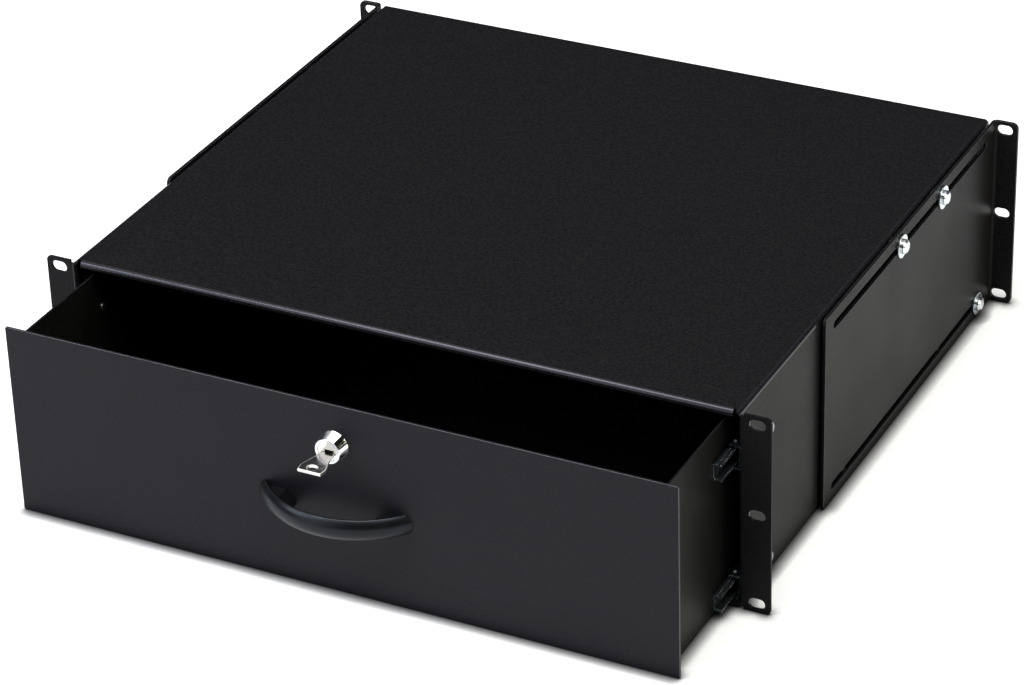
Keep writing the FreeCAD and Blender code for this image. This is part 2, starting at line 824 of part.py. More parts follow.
def rear_brackets():
    """Angle brackets that slide on the case sides and end in the rear rack flanges."""
    for side, sign in SIDES.items():
        bracket = Piece("rear_bracket_" + side)
        inner_r = S.bracket_inner_radius
        flange_front = bracket_rear - S.bracket_sheet
        middle = flange_middle
        section = [
            (bracket_inner, bracket_front),
            (bracket_outer, bracket_front),
            (bracket_outer, flange_front, inner_r),
            (flange_half, flange_front),
            (flange_half, bracket_rear),
            (bracket_inner, bracket_rear, inner_r + S.bracket_sheet),
        ]
        bracket.pad("XY", -middle, middle, polygon(*section))

        def corner(edge):
            box = edge.BoundBox
            at_end = abs(abs(box.ZMin) - middle.value) < NEAR and box.ZLength < NEAR
            front = box.YMax < bracket_front.value + NEAR
            outside = box.XMin > flange_half.value - NEAR
            return at_end and (front or outside)

        bracket.soften(S.bracket_corner, corner)
        slots = [slot(slot_half, S.slot_rise * step, S.slot_length, S.slot_width) for step in (-1, 0, 1)]
        bracket.cut("XZ", flange_front - PAST, bracket_rear + PAST, *slots)
        slot_start = bracket_front + S.bracket_slot_front
        slot_end = bracket_rear - S.bracket_slot_rear
        length = slot_end - slot_start
        centre = (slot_end + slot_start) / 2
        rise = middle - S.bracket_slot_inset
        long_slots = [slot(centre, rise * step, length, S.bracket_slot_width) for step in (-1, 1)]
        bracket.cut("YZ", bracket_inner - PAST, bracket_outer + PAST, *long_slots)
        bracket.place(0, 0, middle, OVER if sign < 0 else None)


def clamp_fixings():
    """What clamps each bracket: a screw and washer outside, a spacer in the gap, a nut inside."""
    washer_seat = bracket_outer + S.clamp_clearance
    head_seat = washer_seat + S.clamp_washer_sheet
    shank = head_seat - case_inner + S.clamp_nut_height
    head = dict(head_height=S.clamp_head_height, dome=S.clamp_head_dome)
    fixing = screw("clamp_screw_master", S.clamp_screw_radius, shank, S.clamp_head_radius, **head)
    washer = Piece("clamp_washer_master", exported=False)
    washer.pad(
        "YZ", 0, S.clamp_washer_sheet, circle(0, 0, S.clamp_washer_radius), circle(0, 0, clamp_hole)
    )
    spacer = Piece("clamp_spacer_master", exported=False)
    spacer.pad(
        "YZ",
        0,
        S.bracket_gap - S.clamp_clearance,
        circle(0, 0, S.spacer_radius),
        circle(0, 0, clamp_hole),
    )
    nut = Piece("clamp_nut_master", exported=False)
    point = S.clamp_nut_width / math.sqrt(3)
    turns = [math.radians(60 * number + 30) for number in range(6)]
    hexagon = polygon(*((point * math.cos(turn), point * math.sin(turn)) for turn in turns))
    nut.pad("YZ", -S.clamp_nut_height, 0, hexagon, circle(0, 0, clamp_hole))
    for label, master, seat in (
        ("bracket_screws", fixing, head_seat),
        ("bracket_washers", washer, washer_seat),
        ("bracket_spacers", spacer, case_half),
        ("bracket_nuts", nut, case_inner),
    ):
        spots = [(y, z, sign) for sign in SIDES.values() for y, z in clamp_spots]
        group(label, [(master, seat * sign, y, z, OVER if sign < 0 else None) for y, z, sign in spots])


def lock():
    """A cam lock: conical bezel and barrel, nut, turning plug with its cam, and the key."""
    spot = dict(x=S.lock_offset, y=-S.drawer_open, z=S.lock_rise)
    bore = S.plug_radius
    housing = Piece("lock_housing")
    bezel = [
        (bore, 0),
        (bore, -S.bezel_height),
        (S.bezel_front_radius, -S.bezel_height),
        (S.bezel_base_radius, 0),
    ]
    housing.turn("V", polygon(*bezel))
    housing.pad("XZ", -LAP, S.barrel_length, lock_cutout(0, 0, 0), circle(0, 0, bore))
    housing.place(**spot)
    nut = Piece("lock_nut")
    seat = S.panel_sheet + S.tray_sheet
    point = S.lock_nut_width / math.sqrt(3)
    turns = [math.radians(60 * number) for number in range(6)]
    hexagon = polygon(*((point * math.cos(turn), point * math.sin(turn)) for turn in turns))
    nut.pad("XZ", seat, seat + S.lock_nut_height, hexagon, circle(0, 0, S.barrel_radius + S.plug_clearance))
    nut.place(**spot)
    plug_front = -S.bezel_height + S.plug_recess
    cam_front = S.barrel_length + S.cam_gap
    cam_rear = cam_front + S.cam_sheet
    plug = Piece("lock_plug")
    plug_edge = S.plug_radius - S.plug_clearance
    outline = [
        (0, plug_front),
        (plug_edge - S.plug_bevel, plug_front),
        (plug_edge, plug_front + S.plug_bevel),
        (plug_edge, cam_front),
        (0, cam_front),
    ]
    plug.turn("V", polygon(*outline))
    tail = S.tail_width / 2
    plug.pad("XZ", cam_front - LAP, cam_rear, rectangle(-tail, tail, -tail, tail))
    keyway_half = S.key_blade_width / 2 + S.key_clearance
    keyway_low = -S.key_drop - S.key_sheet / 2 - S.key_clearance
    keyway_high = -S.key_drop + S.key_sheet / 2 + S.key_clearance
    keyway_end = plug_front + S.key_blade_length + S.key_clearance * 2
    keyway = [
        (-keyway_half, keyway_low),
        (keyway_half, keyway_low),
        (keyway_half, keyway_high),
        (S.ward_right, keyway_high),
        (S.ward_right, S.ward_rise),
        (-S.ward_left, S.ward_rise),
        (-S.ward_left, keyway_high),
        (-keyway_half, keyway_high),
    ]
    plug.cut("XZ", plug_front - PAST, keyway_end, polygon(*keyway))
    plug.cut("XZ", cam_rear - S.cam_screw_depth, cam_rear + PAST, circle(0, 0, S.cam_screw_radius))
    plug.place(**spot)
    cam = Piece("lock_cam")
    half = S.cam_width / 2
    cam.pad("XZ", cam_front, cam_rear, rectangle(-half, S.cam_length, -half, half, S.cam_corner))
    gap = tail + S.plug_clearance
    cam.cut("XZ", cam_front - PAST, cam_rear + PAST, rectangle(-gap, gap, -gap, gap))
    cam.place(**spot)
    fixing = Piece("cam_screw")
    head = S.cam_screw_head_height
    profile = [
        (0, cam_rear - S.cam_screw_depth + S.cam_screw_room),
        (S.cam_screw_radius, cam_rear - S.cam_screw_depth + S.cam_screw_room),
        (S.cam_screw_radius, cam_rear),
        (S.cam_screw_head_radius, cam_rear),
        (S.cam_screw_head_radius, cam_rear + head / 2),
        (S.cam_screw_head_radius - head / 2, cam_rear + head),
        (0, cam_rear + head),
    ]
    fixing.turn("V", polygon(*profile))
    fixing.place(**spot)
    key(spot, plug_front)


def key(spot, plug_front):
    """A flat pressed key: blade in the plug, neck, flared square bow with an oval eye."""
    made = Piece("key")
    neck = S.key_neck_width / 2
    bow = S.key_bow_width / 2
    blade = S.key_blade_width / 2
    shoulder = -S.bezel_height - S.key_clearance
    neck_end = -S.bezel_height - S.key_neck_length
    flare_end = neck_end - S.key_flare_length
    front = -S.bezel_height - S.key_bow_length
    blade_end = plug_front + S.key_blade_length
    right = [
        (blade - S.key_blade_tip, blade_end),
        (blade, blade_end - S.key_blade_tip),
        (blade, shoulder),
        (neck, shoulder),
        (neck, neck_end),
        (bow, flare_end),
        (bow - S.key_corner, front),
    ]
    left = [(-x, y) for x, y in reversed(right)]
    eye = slot(0, front + S.key_eye_inset, S.key_eye_length, S.key_eye_width)
    half = S.key_sheet / 2
    made.pad("XY", -S.key_drop - half, -S.key_drop + half, polygon(*right, *left), eye)

    def bow_rim(edge):
        box = edge.BoundBox
        return box.ZLength < NEAR and box.YMax < shoulder.value + NEAR and box.YLength > NEAR

    def front_rim(edge):
        box = edge.BoundBox
        return box.ZLength < NEAR and box.YMax < front.value + NEAR

    made.soften(S.key_edge_bevel, lambda edge: bow_rim(edge) or front_rim(edge), bevel=True)
    made.place(**spot)


def handle():
    """A moulded bow: a thin-rimmed, bulging section turned about a far centre, on two wedge feet."""
    reach = S.handle_reach
    chord = S.handle_half_chord
    rim_r = (chord * chord + reach * reach) / (reach * 2)
    panel_level = reach - rim_r
    half = S.handle_height / 2
    band_r = rim_r - S.handle_band
    low_r = rim_r + S.handle_lower_bulge
    low_z = -half + S.handle_lower_bevel
    corners = [
        (low_r, low_z),
        (low_r - S.handle_lower_bevel, -half),
        (band_r, -half),
        (band_r, half - S.handle_slope),
        (rim_r - S.handle_rim, half),
        (rim_r, half),
    ]

    def section(outline):
        lines = []
        for (x, z), (next_x, next_z) in zip(corners, corners[1:]):
            ends = vector(x.value, z.value), vector(next_x.value, next_z.value)
            lines.append(outline.curve(Part.LineSegment(*ends)))
            outline.fix(lines[-1], 1, x, z)
            if len(lines) > 1:
                outline.join(lines[-2], 2, lines[-1], 1)
        outline.fix(lines[-1], 2, *corners[-1])
        bottom = vector(low_r.value, low_z.value)
        top = vector(rim_r.value, half.value)
        across = top - bottom
        middle = (top + bottom) / 2
        drop = math.sqrt(S.handle_bulge_radius.value**2 - (across.Length / 2) ** 2)
        centre = middle + FreeCAD.Vector(-across.y, across.x, 0).normalize() * drop
        ring = Part.Circle(centre, FreeCAD.Vector(0, 0, 1), S.handle_bulge_radius.value)
        turns = [math.atan2((end - centre).y, (end - centre).x) for end in (bottom, top)]
        arc = outline.curve(Part.ArcOfCircle(ring, *turns))
        outline.join(arc, 1, lines[0], 1)
        outline.join(lines[-1], 2, arc, 2)
        outline.radius(arc, S.handle_bulge_radius)

    bow = Piece("handle")
    room = rim_r + S.handle_bulge_radius
    foot_r = rim_r - S.handle_rim
    heel = chord - S.handle_foot_width
    foot_top = half - S.handle_foot_drop
    foot_low = -half + S.handle_foot_lift
    feet = [
        polygon(
            (heel * side, foot_low),
            (heel * side, foot_top - S.handle_foot_bevel),
            ((heel + S.handle_foot_bevel) * side, foot_top),
            (room * side, foot_top),
            (room * side, foot_low),
        )
        for side in (-1, 1)
    ]
    bow.pad("XZ", -room, panel_level, *feet)
    bow.cut("XY", foot_low - PAST, foot_top + PAST, circle(0, 0, foot_r), circle(0, 0, room * 2))
    bow.turn("V", section, plane="XZ")
    bow.cut("XY", -half - PAST, half + PAST, rectangle(-room, room, panel_level, room))
    holes = [circle(S.handle_screw_spread * side, 0, S.handle_screw_radius) for side in (-1, 1)]
    hole_end = panel_level - S.handle_screw_depth - S.handle_hole_room
    bow.cut("XZ", hole_end, panel_level + PAST, *holes)
    bow.place(S.handle_offset, -S.drawer_open - panel_level, S.handle_rise)
    fixing = Piece("handle_screw_master", exported=False)
    seat = S.panel_sheet + S.tray_sheet
    head = S.handle_screw_head_height
    profile = [
        (0, -S.handle_screw_depth),
        (S.handle_screw_radius, -S.handle_screw_depth),
        (S.handle_screw_radius, seat),
        (S.handle_screw_head_radius, seat),
        (S.handle_screw_head_radius, seat + head / 2),
        (S.handle_screw_head_radius - head / 2, seat + head),
        (0, seat + head),
    ]
    fixing.turn("V", polygon(*profile))
    places = [(S.handle_offset + S.handle_screw_spread * side, -S.drawer_open) for side in (-1, 1)]
    group("handle_screws", [(fixing, x, y, S.handle_rise, None) for x, y in places])


def write():
    """Checks every object and each piece's shape, then writes one file for each piece."""
    doc.recompute()
    for thing in doc.Objects:
        if "Invalid" in thing.State or "Error" in thing.State:
            raise SystemExit(f"{thing.Label} failed: {thing.State}")
    for piece in pieces:
        if piece.Shape.isNull() or not piece.Shape.isValid():
            raise SystemExit(f"{piece.Label} has no valid shape")
    os.makedirs("parts", exist_ok=True)
    for piece in pieces:
        piece.Shape.exportStep(os.path.join("parts", piece.Label + ".step"))
        print(f"{piece.Label}: {len(piece.Shape.Solids)} solids, {piece.Shape.Volume:.1f} mm3")


case_shell()
case_floor_and_back()
lock_keeper()
drawer_tray()
slides()
slide_screws()
rear_brackets()
clamp_fixings()
lock()
handle()
write()
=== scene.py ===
"""Looks of a 3U rack drawer: the finish of its sheet steel, slides, lock, key, handle and fixings."""

import json
import math
from typing import NamedTuple

import bmesh
import bpy
import numpy as np
from bpy.props import FloatProperty, FloatVectorProperty, PointerProperty
from mathutils import Matrix, Vector

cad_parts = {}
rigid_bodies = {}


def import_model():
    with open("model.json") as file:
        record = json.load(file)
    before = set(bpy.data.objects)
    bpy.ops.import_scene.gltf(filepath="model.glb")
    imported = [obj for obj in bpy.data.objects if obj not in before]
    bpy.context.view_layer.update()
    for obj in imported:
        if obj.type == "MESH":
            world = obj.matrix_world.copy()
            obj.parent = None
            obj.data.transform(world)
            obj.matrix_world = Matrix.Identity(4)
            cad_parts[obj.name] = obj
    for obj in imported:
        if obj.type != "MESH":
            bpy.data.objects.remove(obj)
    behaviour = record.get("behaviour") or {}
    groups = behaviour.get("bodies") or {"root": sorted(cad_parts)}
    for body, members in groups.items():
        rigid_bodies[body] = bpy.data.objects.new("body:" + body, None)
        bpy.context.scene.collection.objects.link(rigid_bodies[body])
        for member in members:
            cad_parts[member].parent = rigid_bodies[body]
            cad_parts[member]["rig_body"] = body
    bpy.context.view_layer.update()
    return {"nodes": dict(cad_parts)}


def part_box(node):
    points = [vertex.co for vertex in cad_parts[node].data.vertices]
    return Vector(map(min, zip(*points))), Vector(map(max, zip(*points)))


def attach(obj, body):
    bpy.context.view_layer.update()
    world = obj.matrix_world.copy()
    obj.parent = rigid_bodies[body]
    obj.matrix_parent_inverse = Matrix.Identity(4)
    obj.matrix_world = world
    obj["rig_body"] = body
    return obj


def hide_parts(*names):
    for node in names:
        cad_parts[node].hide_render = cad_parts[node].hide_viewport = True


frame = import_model()

bl_info = {
    "name": "Rack drawer finishes",
    "version": (1, 0, 0),
    "blender": (4, 5, 0),
    "location": "View3D > Sidebar > Rack drawer",
    "description": "Rounds and finishes the pieces of a 3U rack drawer over its packed model",
    "category": "Object",
}

MM = 0.001
LEVELS = ("upper", "lower")
SIDES = ("left", "right")
SLIDES = [f"{level}_{side}" for level in LEVELS for side in SIDES]
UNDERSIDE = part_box("case_shell")[0].z


def colour(name, description, value):
    """A colour property with its default."""
    return FloatVectorProperty(
        name=name, description=description, default=(*value, 1.0), size=4, min=0, max=1, subtype="COLOR"
    )


def length(name, description, value):
    """A length property with its default in metres."""
    return FloatProperty(name=name, description=description, default=value, min=0, unit="LENGTH")


class RackDrawerColours(bpy.types.PropertyGroup):
    """Base colours of the finishes."""

    case: colour("Case", "Powder coat of the case and brackets", (0.0094, 0.0091, 0.0099))
    panel: colour("Panel", "Powder coat of the drawer's front panel", (0.0108, 0.0107, 0.0136))
    tray: colour("Tray", "Powder coat of the tray", (0.0070, 0.0070, 0.0072))
    # Lighter than the case: partly where the coat thins over the edges, partly a painted highlight along
    # every rounded edge
    edge: colour("Edges", "Powder coat where it thins over the sheets' edges", (0.060, 0.060, 0.068))
    slide: colour("Slides", "Dark blue-grey plate of the slide members", (0.058, 0.070, 0.080))
    # The slide members' pale edges are a painted highlight, standing in for glints along their rolled edges
    slide_edge: colour("Slide edges", "Bright metal where the plate is rubbed thin", (0.92, 0.95, 0.98))
    handle: colour("Handle", "Moulded plastic of the bow handle", (0.0055, 0.0055, 0.0062))
    chrome: colour("Chrome", "Plate of the lock's bezel, and the steel of the balls", (0.74, 0.75, 0.77))
    plug: colour("Plug", "Polished brass of the lock's plug under a thin plate", (0.80, 0.77, 0.71))
    key: colour("Key", "Nickel plate of the key", (0.62, 0.61, 0.58))
    key_edge: colour("Key edges", "Nickel polished bright along the key's edges", (0.86, 0.85, 0.82))
    zinc: colour("Zinc", "Bright zinc of the bracket screws, the nuts and the lock's cam", (0.72, 0.76, 0.79))
    steel: colour("Steel", "Plain steel of the cages and small screws", (0.35, 0.35, 0.34))


class RackDrawerSizes(bpy.types.PropertyGroup):
    """Sizes of what the finishing adds."""

    sheet_edge: length("Sheet edge", "Rounding that the coat leaves on cut sheet edges", 0.25 * MM)
    small_edge: length("Small edge", "Rounding on small stamped and turned pieces", 0.12 * MM)
    key_edge: length("Key edge", "Rounding on the key's edges", 0.22 * MM)
    slide_edge: length("Slide edge", "Rounding on the rolled edges of the slide members", 0.42 * MM)
    grain: length("Coat grain", "Size of the powder coat's grain", 1.7 * MM)
    floor: length("Floor", "Width of the plain floor", 8.0)
    contact: length("Contact shade", "Reach of the floor's shade along the underside", 10 * MM)


def shades():
    """The scene's colours."""
    return bpy.context.scene.rack_drawer_colours


def sizes():
    """The scene's finishing sizes."""
    return bpy.context.scene.rack_drawer_sizes


class Nodes:
    """A short way to build a node tree. Add gives a whole node, and the other methods a node's output."""

    def __init__(self, tree):
        self.tree = tree
        tree.nodes.clear()

    def add(self, kind, inputs=None, **settings):
        """A node of a kind. Each input is a value, or another node's output, which is linked to it."""
        node = self.tree.nodes.new("ShaderNode" + kind)
        for name, value in settings.items():
            setattr(node, name, value)
        for name, value in (inputs or {}).items():
            if isinstance(value, bpy.types.NodeSocket):
                self.tree.links.new(value, node.inputs[name])
            else:
                node.inputs[name].default_value = value
        return node

    def math(self, operation, first, second):
        """Two numbers combined."""
        return self.add("Math", {0: first, 1: second}, operation=operation).outputs[0]

    def noise(self, where, scale, detail, **more):
        """Noise with a number of grains to the metre and a number of finer layers."""
        inputs = {"Vector": where, "Scale": scale, "Detail": detail, **more}
        return self.add("TexNoise", inputs).outputs["Fac"]

    def remap(self, value, given, wanted=(0.0, 1.0), **settings):
        """A number brought from one range into another."""
        inputs = {"Value": value, "From Min": given[0], "From Max": given[1]}
        inputs |= {"To Min": wanted[0], "To Max": wanted[1]}
        return self.add("MapRange", inputs, **settings).outputs[0]

    def blend(self, factor, first, second):
        """A colour between two."""
        mix = self.add("Mix", {"Factor": factor}, data_type="RGBA")
        mix.inputs[6].default_value = first
        mix.inputs[7].default_value = second
        return mix.outputs[2]


class Finish(Nodes):
    """The nodes of a new material. Where is the place on the piece, in its own coordinates."""

    def __init__(self, name):
        self.material = bpy.data.materials.new(name)
        self.material.use_nodes = True
        super().__init__(self.material.node_tree)
        self.where = self.add("TexCoord").outputs["Object"]

    def relief(self, height, strength, distance, **more):
        """The surface's normal over a height."""
        inputs = {"Height": height, "Strength": strength, "Distance": distance, **more}
        return self.add("Bump", inputs).outputs[0]

    def surface(self, shader):
        """The material, with a shader's output as its surface."""
        self.add("OutputMaterial", {"Surface": shader})
        return self.material

    def principled(self, inputs):
        """The material, with a principled shader of these inputs as its surface."""
        return self.surface(self.add("BsdfPrincipled", inputs).outputs[0])


def tinted(value, factor, lean=(1.0, 1.0, 1.0)):
    """A colour scaled by a factor and leaned towards a hue."""
    return (*(channel * factor * part for channel, part in zip(value[:3], lean)), 1.0)


WHITE = (1.0, 1.0, 1.0)
# The gloss of the bent coat leans towards violet, and that of the handle towards blue
VIOLET_SHEEN = (0.86, 0.85, 1.0)
BLUE_SHEEN = (0.80, 0.90, 1.0)
# How the coat's low and high grains lean in colour: towards violet, and towards olive
COAT_LOW = (0.98, 0.96, 1.12)
COAT_HIGH = (1.02, 1.03, 0.92)

# Noise rarely leaves these ranges, so they are stretched over the whole of what the noise drives
GRAIN_RANGE = (0.35, 0.65)
DRIFT_RANGE = (0.3, 0.7)

# Powder coat: fine grains to a coarse one, drifts to the metre, and how far height and roughness vary
FINE_GRAINS = 2.7
COAT_DRIFTS = 14.0
COAT_DEPTH = 0.06 * MM
COAT_UNEVENNESS = 0.04


def powder_coat(name, base, roughness=0.42, specular=0.12, bump=1.0, contrast=0.38, sheen=WHITE):
    """Fine textured powder coat: two close tones, a grainy relief, and a roughness that drifts.

    Contrast is how far the two tones lie from the base. Sheen is the colour that the gloss takes on.
    """
    make = Finish(name)
    grain = make.noise(make.where, 1 / sizes().grain, 3.0, Roughness=0.6)
    fine = make.noise(make.where, FINE_GRAINS / sizes().grain, 1.0)
    drift = make.noise(make.where, COAT_DRIFTS, 2.0)
    low = tinted(base, 1 - contrast, COAT_LOW)
    high = tinted(base, 1 + contrast, COAT_HIGH)
    roughnesses = (roughness - COAT_UNEVENNESS, roughness + COAT_UNEVENNESS)
    return make.principled({
        "Base Color": make.blend(make.remap(grain, GRAIN_RANGE), low, high),
        "Roughness": make.remap(drift, DRIFT_RANGE, roughnesses),
        "Normal": make.relief(make.math("ADD", grain, fine), bump, COAT_DEPTH),
        "Specular IOR Level": specular,
        "Specular Tint": (*sheen, 1.0),
    })


# Plate: the shares between which its tone and its roughness drift, and its scratches
PLATE_TONES = (0.88, 1.08)
PLATE_ROUGHNESS = (0.7, 1.4)
SCRATCHES_TO_A_DRIFT = 9
SCRATCH_STRETCH = (1.0, 0.15, 1.0)
SCRATCH_DEPTH = 0.01 * MM


def plated(name, base, roughness, drifts, scratch=0.15, metallic=1.0, lean=0.0):
    """Plated metal: tone and roughness drift with handling marks, over faint scratches.

    Drifts is their number to the metre. Lean is the slope that polishing leaves along the piece's
    length, as height for length.
    """
    make = Finish(name)
    drift = make.noise(make.where, drifts, 4.0)
    stretched = make.add("Mapping", {"Vector": make.where, "Scale": SCRATCH_STRETCH}).outputs[0]
    scratches = make.noise(stretched, drifts * SCRATCHES_TO_A_DRIFT, 2.0)
    normal = make.relief(scratches, scratch, SCRATCH_DEPTH)
    if lean:
        along = make.add("SeparateXYZ", {"Vector": make.where}).outputs["Y"]
        normal = make.relief(along, 1.0, lean, Normal=normal)
    low, high = (tinted(base, share) for share in PLATE_TONES)
    return make.principled({
        "Base Color": make.blend(drift, low, high),
        "Roughness": make.remap(drift, DRIFT_RANGE, [roughness * share for share in PLATE_ROUGHNESS]),
        "Normal": normal,
        "Metallic": metallic,
    })


# Plastic: drifts and grains to the metre, the shares of its tones, and its grain's strength and depth
PLASTIC_DRIFTS = 60.0
PLASTIC_GRAINS = 3000.0
PLASTIC_TONES = (0.85, 1.15)
PLASTIC_SMOOTHER = 0.05
PLASTIC_ROUGHER = 0.06
PLASTIC_BUMP = 0.08
PLASTIC_DEPTH = 0.02 * MM


def moulded_plastic(name, base, roughness=0.32, specular=0.24, sheen=BLUE_SHEEN):
    """Smooth black plastic with a faint satin grain and a soft drift in its gloss."""
    make = Finish(name)
    drift = make.noise(make.where, PLASTIC_DRIFTS, 3.0)
    grain = make.noise(make.where, PLASTIC_GRAINS, 1.0)
    low, high = (tinted(base, share) for share in PLASTIC_TONES)
    roughnesses = (roughness - PLASTIC_SMOOTHER, roughness + PLASTIC_ROUGHER)
    return make.principled({
        "Base Color": make.blend(drift, low, high),
        "Roughness": make.remap(drift, DRIFT_RANGE, roughnesses),
        "Normal": make.relief(grain, PLASTIC_BUMP, PLASTIC_DEPTH),
        "Specular IOR Level": specular,
        "Specular Tint": (*sheen, 1.0),
    })


# Which of a piece's materials is which
EDGE_SLOT = 1
BEND_SLOT = 2
# How far a face leans from every axis before it counts as part of a bend
BEND_TILT = math.radians(6)


def dress(piece, material, edge=None, bend=None):
    """Gives a piece its material, and its rounded edges and its bends ones of their own."""
    piece.data.materials.clear()
    for each in (material, edge, bend):
        if each is not None:
            piece.data.materials.append(each)
    if edge is not None:
        piece.modifiers["edge"].material = EDGE_SLOT
    if bend is not None:
        normals = np.empty(len(piece.data.polygons) * 3)
        piece.data.polygons.foreach_get("normal", normals)
        nearest_axis = np.abs(normals.reshape(-1, 3)).max(axis=1)
        bent = (nearest_axis < math.cos(BEND_TILT)).astype(np.int32)
        piece.data.polygons.foreach_set("material_index", bent * BEND_SLOT)
    return piece


def paint_top_glint(piece, depth):
    """Gives the faces in a piece's top layer its edges' material, as a painted glint."""
    centres = np.empty(len(piece.data.polygons) * 3)
    piece.data.polygons.foreach_get("center", centres)
    heights = centres.reshape(-1, 3)[:, 2]
    glinting = (heights > heights.max() - depth).astype(np.int32)
    piece.data.polygons.foreach_set("material_index", glinting * EDGE_SLOT)


def show(name, mesh):
    """A linked object for a mesh, at the origin."""
    piece = bpy.data.objects.new(name, mesh)
    bpy.context.scene.collection.objects.link(piece)
    return piece


# Points this close are one, faces this flat to each other are one, and edges sharper than this are rounded
WELD = 1e-6
FLAT_ANGLE = math.radians(0.5)
SHARP_ANGLE = math.radians(38)
EDGE_SEGMENTS = 2


def softened(node, width):
    """A copy of a CAD node, its triangles merged into faces and its sharp edges rounded by width."""
    source = frame["nodes"][node]
    mesh = source.data.copy()
    shape = bmesh.new()
    shape.from_mesh(mesh)
    bmesh.ops.remove_doubles(shape, verts=shape.verts, dist=WELD)
    bmesh.ops.dissolve_limit(
        shape, angle_limit=FLAT_ANGLE, verts=shape.verts, edges=shape.edges, use_dissolve_boundaries=False
    )
    for face in shape.faces:
        face.smooth = True
    shape.to_mesh(mesh)
    shape.free()
    piece = show(node + "_finish", mesh)
    bevel = piece.modifiers.new("edge", "BEVEL")
    bevel.width = width
    bevel.segments = EDGE_SEGMENTS
    bevel.limit_method = "ANGLE"
    bevel.angle_limit = SHARP_ANGLE
    bevel.miter_outer = "MITER_ARC"
    normals = piece.modifiers.new("normals", "WEIGHTED_NORMAL")
    normals.keep_sharp = True
    body = source["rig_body"]
    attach(piece, body)
    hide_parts(node)
    return piece


class RACKDRAWER_OT_stage(bpy.types.Operator):
    """Make the white floor, the lamps, the world and the camera"""

    bl_idname = "rack_drawer.stage"
    bl_label = "Stage"

    def execute(self, context):
        make_floor()
        make_world()
        make_lamps()
        make_camera()
        context.scene.view_settings.view_transform = "Standard"
        return {"FINISHED"}


FLOOR_GAP = 0.05 * MM
FLOOR_TONE = 0.80
# The floor's glow near the drawer, and the distances between which it grows to white at the floor's edge
FLOOR_GLOW = 0.50
GLOW_GROWS = (0.6, 1.8)
# How strongly a painted shade darkens the floor right at the underside, as a power of how open it lies
PAINTED_SHADE_POWER = 4.0


def make_floor():
    """A flat white floor. What the camera and reflections see is lifted to white, and shadows stay.

    A painted shade darkens the floor close to whatever stands on it.
    """
    half = sizes().floor / 2
    low = UNDERSIDE - FLOOR_GAP
    mesh = bpy.data.meshes.new("floor")
    corners = [(-half, -half, low), (half, -half, low), (half, half, low), (-half, half, low)]
    mesh.from_pydata(corners, [], [(0, 1, 2, 3)])
    floor = show("floor", mesh)
    make = Finish("floor_white")
    ray = make.add("LightPath").outputs
    seen = make.math("MAXIMUM", ray["Is Camera Ray"], ray["Is Glossy Ray"])
    seen = make.math("MAXIMUM", seen, ray["Is Transmission Ray"])
    away = make.add("VectorMath", {0: make.where}, operation="LENGTH").outputs["Value"]
    glow = make.math("MULTIPLY", seen, make.remap(away, GLOW_GROWS, (FLOOR_GLOW, 1.0)))
    white = make.add("BsdfDiffuse", {"Color": (FLOOR_TONE, FLOOR_TONE, FLOOR_TONE, 1)})
    light = make.add("Emission", {"Color": (1, 1, 1, 1), "Strength": glow})
    lit = make.add("AddShader", {0: white.outputs[0], 1: light.outputs[0]})
    # Painted shade: the floor is mixed towards black where little lies open above it
    nearness = make.add("AmbientOcclusion", {"Distance": sizes().contact}, samples=8)
    openness = make.math("POWER", nearness.outputs["AO"], PAINTED_SHADE_POWER)
    painted_shade = make.add("BsdfDiffuse", {"Color": (0, 0, 0, 1)})
    shown = make.add("MixShader", {0: openness, 1: painted_shade.outputs[0], 2: lit.outputs[0]})
    dress(floor, make.surface(shown.outputs[0]))


# Colour of the surround at the horizon and overhead, and the heights between which it changes
HORIZON = (0.050, 0.052, 0.085, 1.0)
OVERHEAD = (0.80, 0.80, 0.80, 1.0)
HORIZON_TO_OVERHEAD = (0.48, 0.92)
# The studio's unlit side: its heading out from the drawer, how deep it is, and the share of light left
DARK_SIDE = (0.75, -0.45, 0.50)
DARK_SIDE_DEPTH = 0.5
DARK_SIDE_LIGHT = 0.03


def make_world():
    """A surround that is pale overhead, dim at the horizon and unlit on one side. The camera sees white."""
    world = bpy.data.worlds.new("studio")
    bpy.context.scene.world = world
    world.use_nodes = True
    make = Nodes(world.node_tree)
    seen = make.add("LightPath").outputs["Is Camera Ray"]
    heading = make.add("TexCoord").outputs["Generated"]
    height = make.add("SeparateXYZ", {"Vector": heading}).outputs["Z"]
    sky = make.blend(
        make.remap(height, HORIZON_TO_OVERHEAD, interpolation_type="SMOOTHSTEP"), HORIZON, OVERHEAD
    )
    aside = make.add("VectorMath", {0: heading, 1: DARK_SIDE}, operation="SUBTRACT").outputs[0]
    shade = make.add("TexGradient", {"Vector": aside}, gradient_type="SPHERICAL").outputs["Fac"]
    light = make.remap(shade, (0.0, DARK_SIDE_DEPTH), (1.0, DARK_SIDE_LIGHT))
    plain = make.add("Background", {"Color": sky, "Strength": light})
    white = make.add("Background", {"Color": (1, 1, 1, 1)})
    both = make.add("MixShader", {0: seen, 1: plain.outputs[0], 2: white.outputs[0]})
    make.add("OutputWorld", {"Surface": both.outputs[0]})


class Lamp(NamedTuple):
    """A flat lamp: its place, width and height in metres, its power in watts and its colour."""

    name: str
    place: tuple
    width: float
    height: float
    watts: float
    tint: tuple


